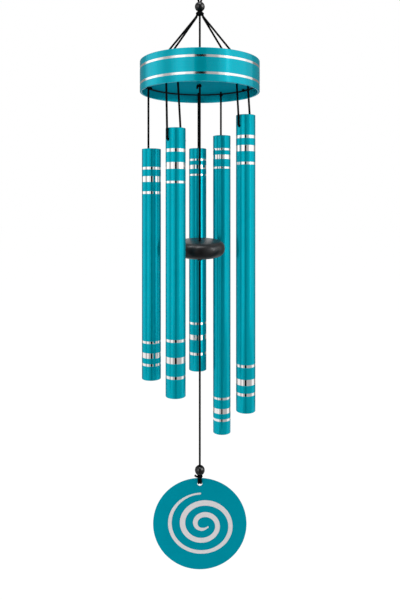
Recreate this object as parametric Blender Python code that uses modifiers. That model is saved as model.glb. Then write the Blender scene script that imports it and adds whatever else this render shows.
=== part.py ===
"""Spiral wind chime: a banded hoop on four cords, five chime tubes, a striker and a round sail.

Metres, +Z up. The origin is where a hook bears, inside the top of the hanging loop.
The engraved face of the sail looks along -Y.
"""
import math

import bmesh
import bpy
from mathutils import Matrix, Vector

# Clearances
SEAT_GAP = 0.0003          # between pieces that rest on each other
STRAND_GAP = 0.0003        # between two strands side by side
SWING_GAP = 0.0011         # under a cord end in the plate, where the strand below it swings
CORD_CLEARANCE = 0.0003    # round a cord or pin in its hole
EYE_CLEARANCE = 0.00075    # round a tube cord in the tube's wall
BORE_CLEARANCE = 0.0002    # round the cords in a bead
SAIL_HOLE_CLEARANCE = 0.0005

# Cord, beads and knots
CORD_D = 0.0019
LOOP_DROP = 0.0405         # hook's bearing point to the top of the top bead
LOOP_WIDTH = 0.0140        # between the two strands where the loop is widest
BEAD_D = 0.0102
GATHER_KNOT_D = 0.0086
GATHER_KNOT_H = 0.0034
KNOT_D = 0.0042
KNOT_H = 0.0036
STRIKER_KNOT_D = 0.0054
STRIKER_KNOT_H = 0.0044
SAIL_KNOT_D = 0.0058
SAIL_KNOT_H = 0.0027

# Canopy: the hoop's flange sits on the plate, and the plate hangs on the suspension knots
SUSPENSION_DROP = 0.0668   # gather knot to the top of the plate
SUSPENSION_R = 0.0538      # from the axis to the suspension holes
SUSPENSION_LEAVES_R = 0.0034    # from the axis to the cords under the gather knot
SUSPENSION_DEG = {"left_front": 200.0, "left_back": 162.5, "right_back": 30.6, "right_front": 352.0}
SUSPENSION_LEAVES_DEG = {"left_front": 202.0, "left_back": 158.0, "right_back": 22.0, "right_front": 338.0}
HOOP_D = 0.1216
HOOP_H = 0.0310
HOOP_WALL = 0.0022
HOOP_SKIRT = 0.0094        # hoop below the plate
RIM_ROUND = 0.0006
BAND_W = 0.0024
BAND_DEPTH = 0.0002
BAND_INSET = 0.0076        # rim to the middle of a polished band
FLANGE_W = 0.0018
FLANGE_T = 0.0016
PLATE_T = 0.0030

# Chime tubes, all of one stock: where each hangs round the plate, how far below it, and how long
TUBE_D = 0.0190
TUBE_WALL = 0.0013
TUBE_EDGE = 0.0005
TUBE_CIRCLE_R = 0.0495
TUBE_DEG = {"a": 191.6, "b": 242.5, "c": 92.7, "d": 61.0, "e": 336.0}
TUBE_DROP = {"a": 0.0674, "b": 0.0509, "c": 0.0615, "d": 0.0481, "e": 0.0351}
TUBE_LENGTH = {"a": 0.2297, "b": 0.2532, "c": 0.2430, "d": 0.3228, "e": 0.2909}
HOLE_DROP = 0.0110         # tube top to the middle of its cross holes
PIN_D = 0.0020
STRAND_OFF_X = {"a": -0.0030, "c": 0.0008, "d": -0.0010}    # a single strand, from its tube's axis
OUTER_STRAND_X = -0.0090   # plate holes of a tube on two strands, from the tube's axis
INNER_STRAND_X = 0.0018
EYES_LEFT_DEG = 46.0       # the line through its two eyes, turned left from the front

# Striker and sail
STRIKER_DROP = 0.1676      # plate's underside to the middle of the striker
STRIKER_D = 0.0508
STRIKER_H = 0.0156
STRIKER_ROUND = 0.0074
STRIKER_TILT_DEG = 6.4     # it hangs with its front lower
SAIL_DROP = 0.20785        # striker knot to the top of the sail bead
SAIL_W = 0.0952
SAIL_H = 0.0926
SAIL_T = 0.0015
SAIL_GAP = 0.0005          # sail knot to the sail's top edge
SAIL_HOLE_EDGE = 0.0030    # sail's top edge to its hole

# Engraved spiral: a brush stroke that winds in to the left from the top
SPIRAL_X = 0.0035          # its centre, from the sail's centre
SPIRAL_Z = -0.0006
SPIRAL_R = 0.0374
SPIRAL_PITCH = 0.01325     # drop in radius for one turn
SPIRAL_TURNS = 2.65
SPIRAL_START_DEG = 5.0
SPIRAL_SQUASH = 0.90       # height over width
SPIRAL_START_CURL = 0.0022
SPIRAL_END_CURL = 0.0033
SPIRAL_CURL_TURNS = 0.12
SPIRAL_DEPTH = 0.0003
STROKE_W = (0.0022, 0.0046, 0.0044, 0.0052, 0.0063, 0.0063, 0.0058, 0.0056, 0.0059, 0.0056, 0.0039, 0.0020)

# Facets
CORD_RESOLUTION = 2
HOOP_STEPS = 48
TUBE_STEPS = 24
BEAD_STEPS = 20
KNOT_STEPS = 12
STRIKER_STEPS = 32
SAIL_STEPS = 64
HOLE_STEPS = 12
STROKE_STEPS = 76

# Derived sizes
CORD_R = CORD_D / 2
STRAND_X = CORD_R + STRAND_GAP / 2
BEAD_BORE_D = 2 * (STRAND_X + CORD_R + BORE_CLEARANCE)
CORD_HOLE_D = CORD_D + 2 * CORD_CLEARANCE
EYE_D = CORD_D + 2 * EYE_CLEARANCE
SAIL_HOLE_D = 2 * (STRAND_X + CORD_R + SAIL_HOLE_CLEARANCE)
STRIKER_TILT = math.radians(STRIKER_TILT_DEG)
STRIKER_BORE_D = CORD_D / math.cos(STRIKER_TILT) + STRIKER_H * math.tan(STRIKER_TILT) + 2 * CORD_CLEARANCE
HOOP_R = HOOP_D / 2
HOOP_INNER_R = HOOP_R - HOOP_WALL
TUBE_R = TUBE_D / 2

# Heights, from the hook down
BEAD_Z = -LOOP_DROP - BEAD_D / 2
GATHER_TOP_Z = BEAD_Z - BEAD_D / 2 - SEAT_GAP
GATHER_LOW_Z = GATHER_TOP_Z - GATHER_KNOT_H
PLATE_TOP_Z = GATHER_LOW_Z - SUSPENSION_DROP
PLATE_LOW_Z = PLATE_TOP_Z - PLATE_T
HOOP_LOW_Z = PLATE_LOW_Z - HOOP_SKIRT
HANG_Z = PLATE_LOW_Z - SEAT_GAP
CENTRE_KNOT_LOW_Z = HANG_Z - KNOT_H
STRIKER_Z = PLATE_LOW_Z - STRIKER_DROP
STRIKER_LOW_Z = STRIKER_Z - STRIKER_H / 2 / math.cos(STRIKER_TILT)
STRIKER_KNOT_TOP_Z = STRIKER_LOW_Z - SEAT_GAP
STRIKER_KNOT_LOW_Z = STRIKER_KNOT_TOP_Z - STRIKER_KNOT_H
SAIL_BEAD_Z = STRIKER_KNOT_LOW_Z - SAIL_DROP - BEAD_D / 2
SAIL_KNOT_TOP_Z = SAIL_BEAD_Z - BEAD_D / 2 - SEAT_GAP
SAIL_KNOT_LOW_Z = SAIL_KNOT_TOP_Z - SAIL_KNOT_H
SAIL_TOP_Z = SAIL_KNOT_LOW_Z - SAIL_GAP
SAIL_Z = SAIL_TOP_Z - SAIL_H / 2
SAIL_HOLE_Z = SAIL_TOP_Z - SAIL_HOLE_EDGE - SAIL_HOLE_D / 2

for old in list(bpy.data.objects):
    bpy.data.objects.remove(old, do_unlink=True)

parts = bpy.data.collections.new("spiral_wind_chime")
cutters = bpy.data.collections.new("cutters")
bpy.context.scene.collection.children.link(parts)
bpy.context.scene.collection.children.link(cutters)


def principled(name, colour, roughness, metallic):
    material = bpy.data.materials.new(name)
    material.use_nodes = True
    shader = material.node_tree.nodes["Principled BSDF"]
    shader.inputs["Base Color"].default_value = (*colour, 1.0)
    shader.inputs["Roughness"].default_value = roughness
    shader.inputs["Metallic"].default_value = metallic
    return material


teal_metal = principled("teal_anodised_aluminium", (0.0, 0.27, 0.34), 0.25, 0.6)
teal_plate = principled("teal_painted_wood", (0.0, 0.22, 0.27), 0.5, 0.0)
steel = principled("steel_pin", (0.55, 0.55, 0.55), 0.3, 1.0)
black_cord = principled("black_braided_cord", (0.01, 0.01, 0.011), 0.75, 0.0)
black_bead = principled("black_gloss_bead", (0.006, 0.006, 0.007), 0.12, 0.0)
black_wood = principled("black_satin_wood", (0.016, 0.016, 0.018), 0.4, 0.0)


def pivot(name, at, parent=None):
    """An empty on a joint's axis, at a place in the world."""
    empty = bpy.data.objects.new(name, None)
    empty.empty_display_size = 0.005
    parts.objects.link(empty)
    hold(empty, Vector(at), parent)
    return empty


def world_of(empty):
    """Where an unturned chain of parents puts an empty."""
    place = Vector()
    while empty is not None:
        place += empty.location
        empty = empty.parent
    return place


def hold(obj, at, parent):
    """Places an object at a point of the world, under an empty."""
    obj.parent = parent
    obj.location = Vector(at) - world_of(parent)


def mesh_object(name, bm, at, parent, material, collection=parts):
    mesh = bpy.data.meshes.new(name)
    bm.to_mesh(mesh)
    bm.free()
    obj = bpy.data.objects.new(name, mesh)
    collection.objects.link(obj)
    hold(obj, at, parent)
    if material is not None:
        mesh.materials.append(material)
    return obj


def smooth(obj, degrees=35):
    obj.data.shade_smooth()
    obj.data.set_sharp_from_angle(angle=math.radians(degrees))


def turned(name, profile, steps, at, parent, material, closed=False):
    """A profile of radius and height, outer side down, turned round the vertical."""
    bm = bmesh.new()
    verts = [bm.verts.new((r, 0, z)) for r, z in profile]
    for a, b in zip(verts, verts[1:]):
        bm.edges.new((a, b))
    if closed:
        bm.edges.new((verts[-1], verts[0]))
    obj = mesh_object(name, bm, at, parent, material)
    screw = obj.modifiers.new("turn", "SCREW")
    screw.axis = "Z"
    screw.angle = math.tau
    screw.steps = steps
    screw.render_steps = steps
    screw.use_merge_vertices = True
    screw.merge_threshold = 0.00001
    screw.use_smooth_shade = True
    return obj


def cord(name, points, at, parent, material=black_cord):
    """A round cord along points measured from a place in the world."""
    curve = bpy.data.curves.new(name, "CURVE")
    curve.dimensions = "3D"
    curve.bevel_depth = CORD_R
    curve.bevel_resolution = CORD_RESOLUTION
    curve.use_fill_caps = True
    spline = curve.splines.new("POLY")
    spline.points.add(len(points) - 1)
    for point, co in zip(spline.points, points):
        point.co = (*co, 1.0)
    curve.materials.append(material)
    obj = bpy.data.objects.new(name, curve)
    parts.objects.link(obj)
    hold(obj, at, parent)
    return obj


def knot(name, diameter, height, top, parent):
    """A tied knot, a squat ball with flat ends, under a point."""
    r = diameter / 2
    half = height / 2
    profile = [(0, 0), (0.62 * r, 0), (0.9 * r, -0.4 * half), (r, -half)]
    profile += [(0.9 * r, -1.6 * half), (0.62 * r, -height), (0, -height)]
    return turned(name, profile, KNOT_STEPS, top, parent, black_cord)


def side_knot(name, direction, end, parent):
    """A tied knot on its side, with its front end at a point, along a direction."""
    bm = bmesh.new()
    rod(bm, KNOT_D, KNOT_H, -KNOT_H / 2 * direction, direction)
    ends = [edge for edge in bm.edges if any(len(face.verts) > 4 for face in edge.link_faces)]
    bmesh.ops.bevel(
        bm, geom=ends, offset=KNOT_H / 4, offset_type="OFFSET", segments=1, profile=0.5, affect="EDGES",
        material=-1)
    obj = mesh_object(name, bm, end, parent, black_cord)
    smooth(obj)
    return obj


def bead(name, centre, parent):
    """A ball with a bore along the cord."""
    r = BEAD_D / 2
    bore = BEAD_BORE_D / 2
    start = math.asin(bore / r)
    rings = 9
    profile = []
    for k in range(rings):
        angle = start + (math.pi - 2 * start) * k / (rings - 1)
        profile.append((r * math.sin(angle), r * math.cos(angle)))
    return turned(name, profile, BEAD_STEPS, centre, parent, black_bead, closed=True)


def rod(bm, diameter, length, centre, direction):
    """Adds a closed cylinder along a direction."""
    turn = Vector((0, 0, 1)).rotation_difference(Vector(direction)).to_matrix().to_4x4()
    bmesh.ops.create_cone(
        bm, cap_ends=True, cap_tris=False, segments=HOLE_STEPS, radius1=diameter / 2,
        radius2=diameter / 2, depth=length, matrix=Matrix.Translation(centre) @ turn)


def cut(obj, cutter):
    """Cuts one object by another, which stays as a hidden wire guide."""
    cutter.hide_render = True
    cutter.display_type = "WIRE"
    boolean = obj.modifiers.new("cut_" + cutter.name, "BOOLEAN")
    boolean.operation = "DIFFERENCE"
    boolean.solver = "EXACT"
    boolean.object = cutter


def sheet(name, outline, thickness, at, parent, material, collection):
    """A flat piece upright in the XZ plane, made a mesh so that it can be cut."""
    curve = bpy.data.curves.new(name, "CURVE")
    curve.dimensions = "2D"
    curve.fill_mode = "BOTH"
    curve.extrude = thickness / 2
    spline = curve.splines.new("POLY")
    spline.points.add(len(outline) - 1)
    spline.use_cyclic_u = True
    for point, (x, z) in zip(spline.points, outline):
        point.co = (x, z, 0, 1)
    flat = bpy.data.objects.new(name + "_outline", curve)
    parts.objects.link(flat)
    bpy.context.view_layer.update()
    mesh = bpy.data.meshes.new_from_object(flat.evaluated_get(bpy.context.evaluated_depsgraph_get()))
    bm = bmesh.new()
    bm.from_mesh(mesh)
    bmesh.ops.remove_doubles(bm, verts=bm.verts, dist=0.000001)
    bmesh.ops.rotate(bm, verts=bm.verts, cent=(0, 0, 0), matrix=Matrix.Rotation(math.pi / 2, 3, "X"))
    bmesh.ops.recalc_face_normals(bm, faces=bm.faces)
    bpy.data.objects.remove(flat, do_unlink=True)
    bpy.data.meshes.remove(mesh)
    return mesh_object(name, bm, at, parent, material, collection)


def round_xy(radius, degrees):
    return Vector((radius * math.cos(math.radians(degrees)), radius * math.sin(math.radians(degrees)), 0))


# Hanging loop, top bead and gather knot
hook = pivot("pivot_hook", (0, 0, 0))
half_loop = []
LOOP_POINTS = 12
for k in range(LOOP_POINTS + 1):
    t = k / LOOP_POINTS
    # from the middle of the top, out to the widest place and in again to the bead
    swell = LOOP_WIDTH / 2 * math.sin(math.pi * t ** 0.75)
    rest = STRAND_X * t
    half_loop.append((swell + rest, 0, CORD_R - (LOOP_DROP + CORD_R) * (1 - math.cos(math.pi / 2 * t))))
down = [(STRAND_X, 0, -LOOP_DROP - BEAD_D)]
left = [(-x, y, z) for x, y, z in reversed(half_loop + down)]
cord("hanging_loop", left[:-1] + half_loop + down, (0, 0, 0), hook)
bead("top_bead", (0, 0, BEAD_Z), hook)

swivel = pivot("pivot_canopy_swivel", (0, 0, GATHER_TOP_Z), hook)
knot("gather_knot", GATHER_KNOT_D, GATHER_KNOT_H, (0, 0, GATHER_TOP_Z), swivel)

# Suspension cords, through the plate to the knots that carry it
canopy = pivot("pivot_canopy_swing", (0, 0, GATHER_LOW_Z), swivel)
suspension_holes = {side: round_xy(SUSPENSION_R, deg) for side, deg in SUSPENSION_DEG.items()}
for side, hole in suspension_holes.items():
    leaves = round_xy(SUSPENSION_LEAVES_R, SUSPENSION_LEAVES_DEG[side])
    top = GATHER_LOW_Z - SEAT_GAP
    route = [leaves + Vector((0, 0, top)), leaves + Vector((0, 0, top - CORD_R))]
    route += [hole + Vector((0, 0, PLATE_TOP_Z + CORD_D)), hole + Vector((0, 0, PLATE_TOP_Z + CORD_R))]
    route += [hole + Vector((0, 0, PLATE_LOW_Z))]
    start = Vector((0, 0, GATHER_LOW_Z))
    cord("suspension_cord_" + side, [p - start for p in route], start, canopy)
    knot("suspension_knot_" + side, KNOT_D, KNOT_H, hole + Vector((0, 0, HANG_Z)), canopy)
centre_route = [(0, 0, -SEAT_GAP), (0, 0, PLATE_LOW_Z - GATHER_LOW_Z)]
cord("centre_cord", centre_route, (0, 0, GATHER_LOW_Z), canopy)

# Hoop: outer side with two polished bands let in, then the inner side with its flange
flange_low = PLATE_TOP_Z + SEAT_GAP - HOOP_LOW_Z
flange_r = HOOP_INNER_R - FLANGE_W
hoop_profile = [(HOOP_R - RIM_ROUND, HOOP_H), (HOOP_R, HOOP_H - RIM_ROUND)]
for band in (HOOP_H - BAND_INSET, BAND_INSET):
    hoop_profile += [(HOOP_R, band + BAND_W / 2), (HOOP_R - BAND_DEPTH, band + BAND_W / 2)]
    hoop_profile += [(HOOP_R - BAND_DEPTH, band - BAND_W / 2), (HOOP_R, band - BAND_W / 2)]
hoop_profile += [(HOOP_R, RIM_ROUND), (HOOP_R - RIM_ROUND, 0), (HOOP_INNER_R, 0)]
hoop_profile += [(HOOP_INNER_R, flange_low), (flange_r, flange_low)]
hoop_profile += [(flange_r, flange_low + FLANGE_T), (HOOP_INNER_R, flange_low + FLANGE_T)]
hoop_profile += [(HOOP_INNER_R, HOOP_H)]
turned("canopy_hoop", hoop_profile, HOOP_STEPS, (0, 0, HOOP_LOW_Z), canopy, teal_metal, closed=True)

# Where the tubes hang: one plate hole over tubes a, c and d, two over tubes b and e
tube_at = {name: round_xy(TUBE_CIRCLE_R, deg) for name, deg in TUBE_DEG.items()}
turn_left = math.radians(EYES_LEFT_DEG)
across = Vector((-math.sin(turn_left), -math.cos(turn_left), 0))
ON_TWO_STRANDS = ("b", "e")
strand_holes = []
for name, place in tube_at.items():
    if name in ON_TWO_STRANDS:
        strand_holes += [place + Vector((x, 0, 0)) for x in (OUTER_STRAND_X, INNER_STRAND_X)]
    else:
        strand_holes.append(place + Vector((STRAND_OFF_X[name], 0, 0)))

# Plate, with a hole for every cord
bm = bmesh.new()
bmesh.ops.create_cone(
    bm, cap_ends=True, cap_tris=False, segments=HOOP_STEPS, radius1=HOOP_INNER_R - SEAT_GAP,
    radius2=HOOP_INNER_R - SEAT_GAP, depth=PLATE_T)
plate_middle = (0, 0, PLATE_TOP_Z - PLATE_T / 2)
plate = mesh_object("canopy_plate", bm, plate_middle, canopy, teal_plate)
smooth(plate)
bm = bmesh.new()
for hole in [Vector()] + list(suspension_holes.values()) + strand_holes:
    rod(bm, CORD_HOLE_D, 3 * PLATE_T, hole, (0, 0, 1))
cut(plate, mesh_object("plate_holes", bm, plate_middle, canopy, None, cutters))

# Tubes and the cords that carry them
for name, place in tube_at.items():
    hang = place + Vector((0, 0, HANG_Z))
    swing = pivot("pivot_tube_" + name, hang, canopy)
    top = PLATE_LOW_Z - TUBE_DROP[name]
    length = TUBE_LENGTH[name]
    inner = TUBE_R - TUBE_WALL
    profile = [(TUBE_R - TUBE_EDGE, 0), (TUBE_R, -TUBE_EDGE), (TUBE_R, TUBE_EDGE - length)]
    profile += [(TUBE_R - TUBE_EDGE, -length), (inner, -length), (inner, 0)]
    tube_top = place + Vector((0, 0, top))
    tube = turned("chime_tube_" + name, profile, TUBE_STEPS, tube_top, swing, teal_metal, closed=True)
    bm = bmesh.new()
    hole_z = top - HOLE_DROP - HANG_Z
    plate_top = PLATE_TOP_Z - HANG_Z
    if name in ON_TWO_STRANDS:
        rod(bm, EYE_D, 2 * TUBE_D, (0, 0, 0), across)
        bend = CORD_R + SEAT_GAP
        turns = [math.radians(degrees) for degrees in (30, 60, 90)]
        # outer strand: down outside the tube, in by the near eye to a stopper knot in the bore
        leg = TUBE_R + bend
        stop = math.sqrt(inner ** 2 - (KNOT_D / 2) ** 2) - SEAT_GAP
        route = [(leg, top - HANG_Z), (leg, hole_z + bend)]
        route += [(TUBE_R + bend * math.cos(t), hole_z + bend - bend * math.sin(t)) for t in turns]
        route += [(stop + SEAT_GAP, hole_z)]
        outer_route = [(OUTER_STRAND_X, 0, 0)] + [across * t + Vector((0, 0, z)) for t, z in route]
        cord("tube_cord_" + name, outer_route, hang, swing)
        side_knot("outer_knot_" + name, across, hang + across * stop + Vector((0, 0, hole_z)), swing)
        # inner strand: into the open top, out by the far eye to a stopper knot behind the tube
        route = [(inner - bend, hole_z + bend)]
        route += [(inner - bend * math.cos(t), hole_z + bend - bend * math.sin(t)) for t in turns]
        route += [(TUBE_R, hole_z)]
        inner_route = [(INNER_STRAND_X, 0, 0)] + [across * -t + Vector((0, 0, z)) for t, z in route]
        cord("tube_inner_cord_" + name, inner_route, hang, swing)
        behind = across * -(TUBE_R + SEAT_GAP) + Vector((0, 0, hole_z))
        side_knot("inner_knot_" + name, across, hang + behind, swing)
        # their upper part, a stitch over the plate
        rise = plate_top + SEAT_GAP + CORD_R
        stitch = [(0, SWING_GAP), (0, rise - CORD_R), (0.3 * CORD_R, rise - 0.3 * CORD_R), (CORD_R, rise)]
        near = [(OUTER_STRAND_X + x, 0, z) for x, z in stitch]
        far = [(INNER_STRAND_X - x, 0, z) for x, z in reversed(stitch)]
        cord("tube_stitch_" + name, near + far, hang, canopy)
    else:
        rod(bm, PIN_D + 2 * CORD_CLEARANCE, 2 * TUBE_D, (0, 0, 0), (1, 0, 0))
        pin_bm = bmesh.new()
        rod(pin_bm, PIN_D, TUBE_D - 2 * SEAT_GAP, (0, 0, 0), (1, 0, 0))
        pin_at = hang + Vector((0, 0, hole_z))
        smooth(mesh_object("tube_pin_" + name, pin_bm, pin_at, swing, steel))
        # one strand into the open top, tied round the pin
        eye = PIN_D / 2 + CORD_R + SEAT_GAP
        route = [(0, 0), (0, hole_z + 3.2 * eye), (0.35 * eye, hole_z + 2.4 * eye)]
        route += [(0.8 * eye, hole_z + 1.5 * eye)]
        for k in range(9):
            turn = math.pi * k / 8
            route.append((eye * math.cos(turn), hole_z - eye * math.sin(turn)))
        route.append((-eye, hole_z + 1.6 * eye))
        aside = STRAND_OFF_X[name]
        cord("tube_cord_" + name, [(aside, y, z) for y, z in route], hang, swing)
        # its stopper knot on the plate, with the cord through the plate's hole
        knot_r = KNOT_D / 2
        seat = plate_top + SEAT_GAP
        profile = [(0, seat + KNOT_H), (0.62 * knot_r, seat + KNOT_H), (knot_r, seat + KNOT_H / 2)]
        profile += [(0.75 * knot_r, seat), (CORD_R, seat), (CORD_R, SWING_GAP), (0, SWING_GAP)]
        tied_at = hang + Vector((aside, 0, 0))
        turned("tube_knot_" + name, profile, KNOT_STEPS, tied_at, canopy, black_cord)
    cut(tube, mesh_object("eyes_" + name, bm, hang + Vector((0, 0, hole_z)), swing, None, cutters))

# Striker on the centre cord, which bends under the plate
sway = pivot("pivot_striker_sway", (0, 0, HANG_Z), canopy)
knot("centre_knot", KNOT_D, KNOT_H, (0, 0, HANG_Z), sway)
striker_swing = pivot("pivot_striker_swing", (0, 0, CENTRE_KNOT_LOW_Z), sway)
striker_route = [(0, 0, -SEAT_GAP), (0, 0, STRIKER_LOW_Z - CENTRE_KNOT_LOW_Z)]
cord("striker_cord", striker_route, (0, 0, CENTRE_KNOT_LOW_Z), striker_swing)
edge = min(STRIKER_ROUND, STRIKER_H / 2)
profile = [(STRIKER_BORE_D / 2, STRIKER_H / 2)]
for middle, first in ((STRIKER_H / 2 - edge, 90), (edge - STRIKER_H / 2, 0)):
    for k in range(6):
        turn = math.radians(first - 18 * k)
        profile.append((STRIKER_D / 2 - edge + edge * math.cos(turn), middle + edge * math.sin(turn)))
profile += [(STRIKER_BORE_D / 2, -STRIKER_H / 2)]
striker = turned("striker", profile, STRIKER_STEPS, (0, 0, STRIKER_Z), striker_swing, black_wood, closed=True)
striker.rotation_euler.x = STRIKER_TILT
knot("striker_knot", STRIKER_KNOT_D, STRIKER_KNOT_H, (0, 0, STRIKER_KNOT_TOP_Z), striker_swing)

# Sail line
sail_swing = pivot("pivot_sail_swing", (0, 0, STRIKER_KNOT_LOW_Z), striker_swing)
sail_route = [(0, 0, -SEAT_GAP), (0, 0, SAIL_KNOT_TOP_Z + SEAT_GAP - STRIKER_KNOT_LOW_Z)]
cord("sail_cord", sail_route, (0, 0, STRIKER_KNOT_LOW_Z), sail_swing)
bead("sail_bead", (0, 0, SAIL_BEAD_Z), sail_swing)

# Sail, tied by two strands through its hole
sail_twist = pivot("pivot_sail_twist", (0, 0, SAIL_KNOT_TOP_Z), sail_swing)
knot("sail_knot", SAIL_KNOT_D, SAIL_KNOT_H, (0, 0, SAIL_KNOT_TOP_Z), sail_twist)
leg = SAIL_T / 2 + CORD_R + SEAT_GAP
room = SAIL_HOLE_D / 2 - CORD_R - SEAT_GAP
in_hole = math.sqrt(max(room ** 2 - STRAND_X ** 2, 0))
tie_top = SAIL_KNOT_LOW_Z - SEAT_GAP - SAIL_HOLE_Z
tie = [(-leg, tie_top), (-leg, in_hole + leg)]
for k in range(1, 8):
    turn = math.pi * k / 8
    tie.append((-leg * math.cos(turn), in_hole + leg - leg * math.sin(turn)))
tie += [(leg, in_hole + leg), (leg, tie_top)]
for side, x in (("left", -STRAND_X), ("right", STRAND_X)):
    cord("sail_tie_" + side, [(x, y, z) for y, z in tie], (0, 0, SAIL_HOLE_Z), sail_twist)

outline = []
for k in range(SAIL_STEPS):
    turn = math.tau * k / SAIL_STEPS
    outline.append((SAIL_W / 2 * math.cos(turn), SAIL_H / 2 * math.sin(turn)))
sail = sheet("sail", outline, SAIL_T, (0, 0, SAIL_Z), sail_twist, teal_metal, parts)
bm = bmesh.new()
rod(bm, SAIL_HOLE_D, 4 * SAIL_T, (0, 0, 0), (0, 1, 0))
cut(sail, mesh_object("sail_hole", bm, (0, 0, SAIL_HOLE_Z), sail_twist, None, cutters))


def stroke_middle(t):
    """The middle of the stroke, t from 0 at its outer end to 1 at its inner end."""
    turns = SPIRAL_TURNS * t
    r = SPIRAL_R - SPIRAL_PITCH * turns
    r -= SPIRAL_START_CURL * math.exp(-turns / SPIRAL_CURL_TURNS)
    r += SPIRAL_END_CURL * math.exp((turns - SPIRAL_TURNS) / SPIRAL_CURL_TURNS)
    angle = math.radians(SPIRAL_START_DEG) + math.tau * turns
    return Vector((-r * math.sin(angle), SPIRAL_SQUASH * r * math.cos(angle)))


def stroke_width(t):
    """The stroke's width, eased between the widths along it."""
    place = min(t * (len(STROKE_W) - 1), len(STROKE_W) - 1.000001)
    k = int(place)
    u = place - k
    u = u * u * (3 - 2 * u)
    return STROKE_W[k] * (1 - u) + STROKE_W[k + 1] * u


one_side = []
other_side = []
for k in range(STROKE_STEPS + 1):
    t = k / STROKE_STEPS
    along = (stroke_middle(min(t + 0.001, 1)) - stroke_middle(max(t - 0.001, 0))).normalized()
    side = Vector((-along.y, along.x)) * stroke_width(t) / 2
    one_side.append(stroke_middle(t) + side)
    other_side.append(stroke_middle(t) - side)
    if k == 0:
        round_start = stroke_middle(0) - along * stroke_width(0) / 2
    if k == STROKE_STEPS:
        round_end = stroke_middle(1) + along * stroke_width(1) / 2
outline = [tuple(p) for p in one_side + [round_end] + other_side[::-1] + [round_start]]
groove_at = (SPIRAL_X, -SAIL_T / 2, SAIL_Z + SPIRAL_Z)
groove = sheet("spiral_groove", outline, 2 * SPIRAL_DEPTH, groove_at, sail_twist, None, cutters)
cut(sail, groove)
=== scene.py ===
"""A spiral wind chime, dressed for its picture: cords, beads, hoop, plate, tubes, striker and sail.

Metres, +Z up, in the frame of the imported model. A hook bears at the origin.
"""
import math
from collections import namedtuple

import bmesh
import bpy
from mathutils import Matrix, Vector


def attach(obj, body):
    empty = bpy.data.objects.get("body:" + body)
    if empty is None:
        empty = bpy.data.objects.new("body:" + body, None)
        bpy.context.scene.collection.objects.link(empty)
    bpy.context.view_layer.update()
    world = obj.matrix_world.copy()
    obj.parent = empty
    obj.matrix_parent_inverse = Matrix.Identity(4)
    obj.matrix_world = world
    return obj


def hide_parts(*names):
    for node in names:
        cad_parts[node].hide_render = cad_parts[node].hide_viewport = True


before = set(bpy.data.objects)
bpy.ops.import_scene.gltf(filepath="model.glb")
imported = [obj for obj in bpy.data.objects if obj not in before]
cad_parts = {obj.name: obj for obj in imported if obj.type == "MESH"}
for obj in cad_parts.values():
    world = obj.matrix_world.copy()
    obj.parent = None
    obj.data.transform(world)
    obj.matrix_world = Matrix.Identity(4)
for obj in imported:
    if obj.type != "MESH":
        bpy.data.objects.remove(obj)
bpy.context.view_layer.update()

# Hanging loop
# A doubled length of black polyester braid that goes over a hook. Its two ends run down
# through the top bead and are tied off in the gather knot.
CORD_D = 0.0019
CORD_R = CORD_D / 2
CROWN_H = 0.00008          # how far the crowns of the braid stand proud
STRAND_X = 0.0011          # from the middle to each of two strands side by side
LOOP_DROP = 0.0405         # hook to the top of the bead
LOOP_WIDTH = 0.0140
LOOP_STEPS = 30
LOOP_UPRIGHT_Z = -0.0440   # from here down its strands hang straight, inside the bead
LOOP_END_Z = -0.0507
SAME_PLACE = 0.0000005     # points of a mesh that are nearer than this are one


def linear(colour):
    """An sRGB hex colour as linear red, green, blue and alpha."""
    shades = [int(colour[k:k + 2], 16) / 255 for k in (1, 3, 5)]
    return (*[s / 12.92 if s <= 0.04045 else ((s + 0.055) / 1.055) ** 2.4 for s in shades], 1.0)


def new_material(name, **constants):
    """A node material and its shader, with constants on sockets that are named with _ for a space."""
    material = bpy.data.materials.new(name)
    material.use_nodes = True
    shader = material.node_tree.nodes["Principled BSDF"]
    for socket, value in constants.items():
        shader.inputs[socket.replace("_", " ")].default_value = value
    return material, shader


def add(material, kind, sockets, **settings):
    """Adds a node with its settings. A socket takes a value, or the output that is linked to it."""
    tree = material.node_tree
    made = tree.nodes.new(kind)
    for name, value in settings.items():
        setattr(made, name, value)
    for name, value in sockets.items():
        if isinstance(value, bpy.types.NodeSocket):
            tree.links.new(value, made.inputs[name])
        else:
            made.inputs[name].default_value = value
    return made


def into(material, shader, **outputs):
    """Links outputs to the shader's sockets, which are named with _ for a space."""
    for name, output in outputs.items():
        material.node_tree.links.new(output, shader.inputs[name.replace("_", " ")])


# Braided polyester is matt black. Each crown of the braid is painted a soft grey and the hollows between are
# darker:
# painted sheen and painted shade. The real crowns are 0.7 mm apart, and are drawn at 1.3 mm so that they
# show.
CROWNS_ROUND = 5
CROWN_PITCH_MM = 1.3
FIBRES_PER_MM = 9.0
braid, braid_shader = new_material("black_polyester_braid", Specular_IOR_Level=0.06)
place = add(braid, "ShaderNodeUVMap", {}, uv_map="UVMap").outputs["UV"]
split = add(braid, "ShaderNodeSeparateXYZ", {"Vector": place})
along = add(braid, "ShaderNodeMath", {0: split.outputs["X"], 1: 1 / CROWN_PITCH_MM}, operation="MULTIPLY")
turn = add(braid, "ShaderNodeMath", {0: split.outputs["Y"], 1: CROWNS_ROUND}, operation="MULTIPLY")
right = add(braid, "ShaderNodeMath", {0: turn.outputs[0], 1: along.outputs[0]}, operation="ADD")
left = add(braid, "ShaderNodeMath", {0: turn.outputs[0], 1: along.outputs[0]}, operation="SUBTRACT")
crowns = []
for lean in (right, left):
    half_turns = add(braid, "ShaderNodeMath", {0: lean.outputs[0], 1: math.pi}, operation="MULTIPLY")
    wave = add(braid, "ShaderNodeMath", {0: half_turns.outputs[0]}, operation="SINE")
    crowns.append(add(braid, "ShaderNodeMath", {0: wave.outputs[0]}, operation="ABSOLUTE"))
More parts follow.
